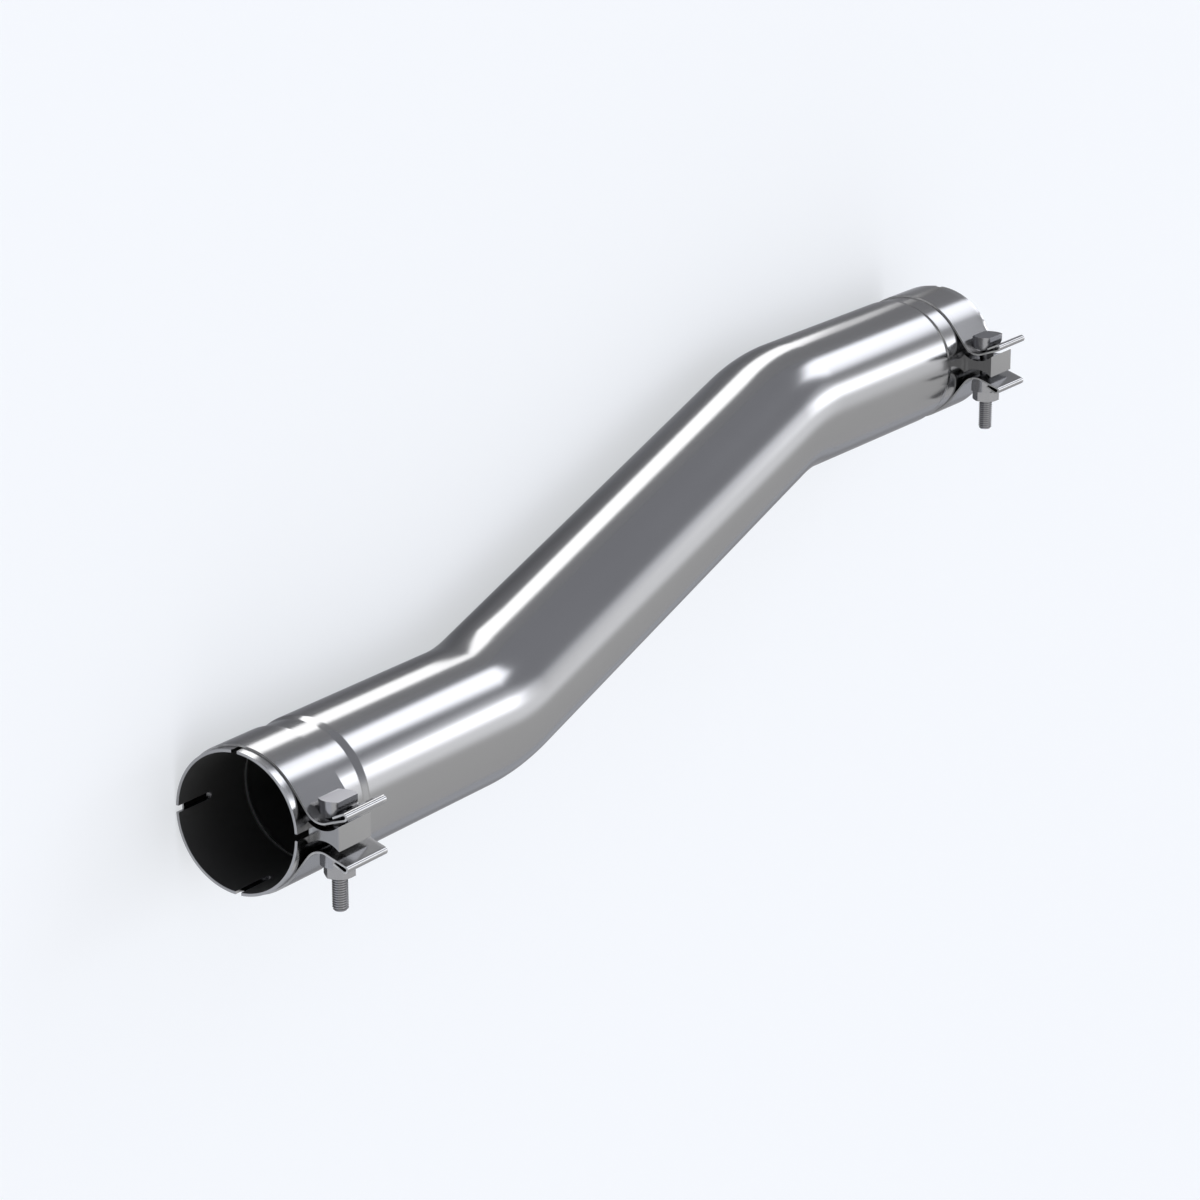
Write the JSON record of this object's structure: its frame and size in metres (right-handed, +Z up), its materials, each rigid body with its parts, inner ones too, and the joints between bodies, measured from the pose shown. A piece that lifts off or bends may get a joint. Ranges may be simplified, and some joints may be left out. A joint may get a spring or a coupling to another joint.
{
  "type": "muffler bypass pipe",
  "caption": "Offset exhaust pipe with shallow bends, a slotted slip-on sleeve at each end and a bolted band clamp on each sleeve.",
  "frame": {"origin": "centre of the inlet sleeve's mouth", "axes": "+X from the inlet to the outlet along the sleeves' axes, +Y to the side that the outlet is offset to, +Z up, with the clamp bolts on top"},
  "size_m": [0.6985, 0.176, 0.1005],
  "materials": {
    "pipe": "polished stainless steel",
    "band": "polished stainless sheet",
    "block": "satin",
    "fastener": "satin zinc"
  },
  "bodies": {
    "root": {"bypass_pipe": "pipe", "inlet_clamp_band": "band", "inlet_reaction_block": "block", "inlet_clamp_bolt": "fastener", "inlet_barrel_washer": "fastener", "inlet_clamp_nut": "fastener", "outlet_clamp_band": "band", "outlet_reaction_block": "block", "outlet_clamp_bolt": "fastener", "outlet_barrel_washer": "fastener", "outlet_clamp_nut": "fastener"}
  },
  "joints": []
}
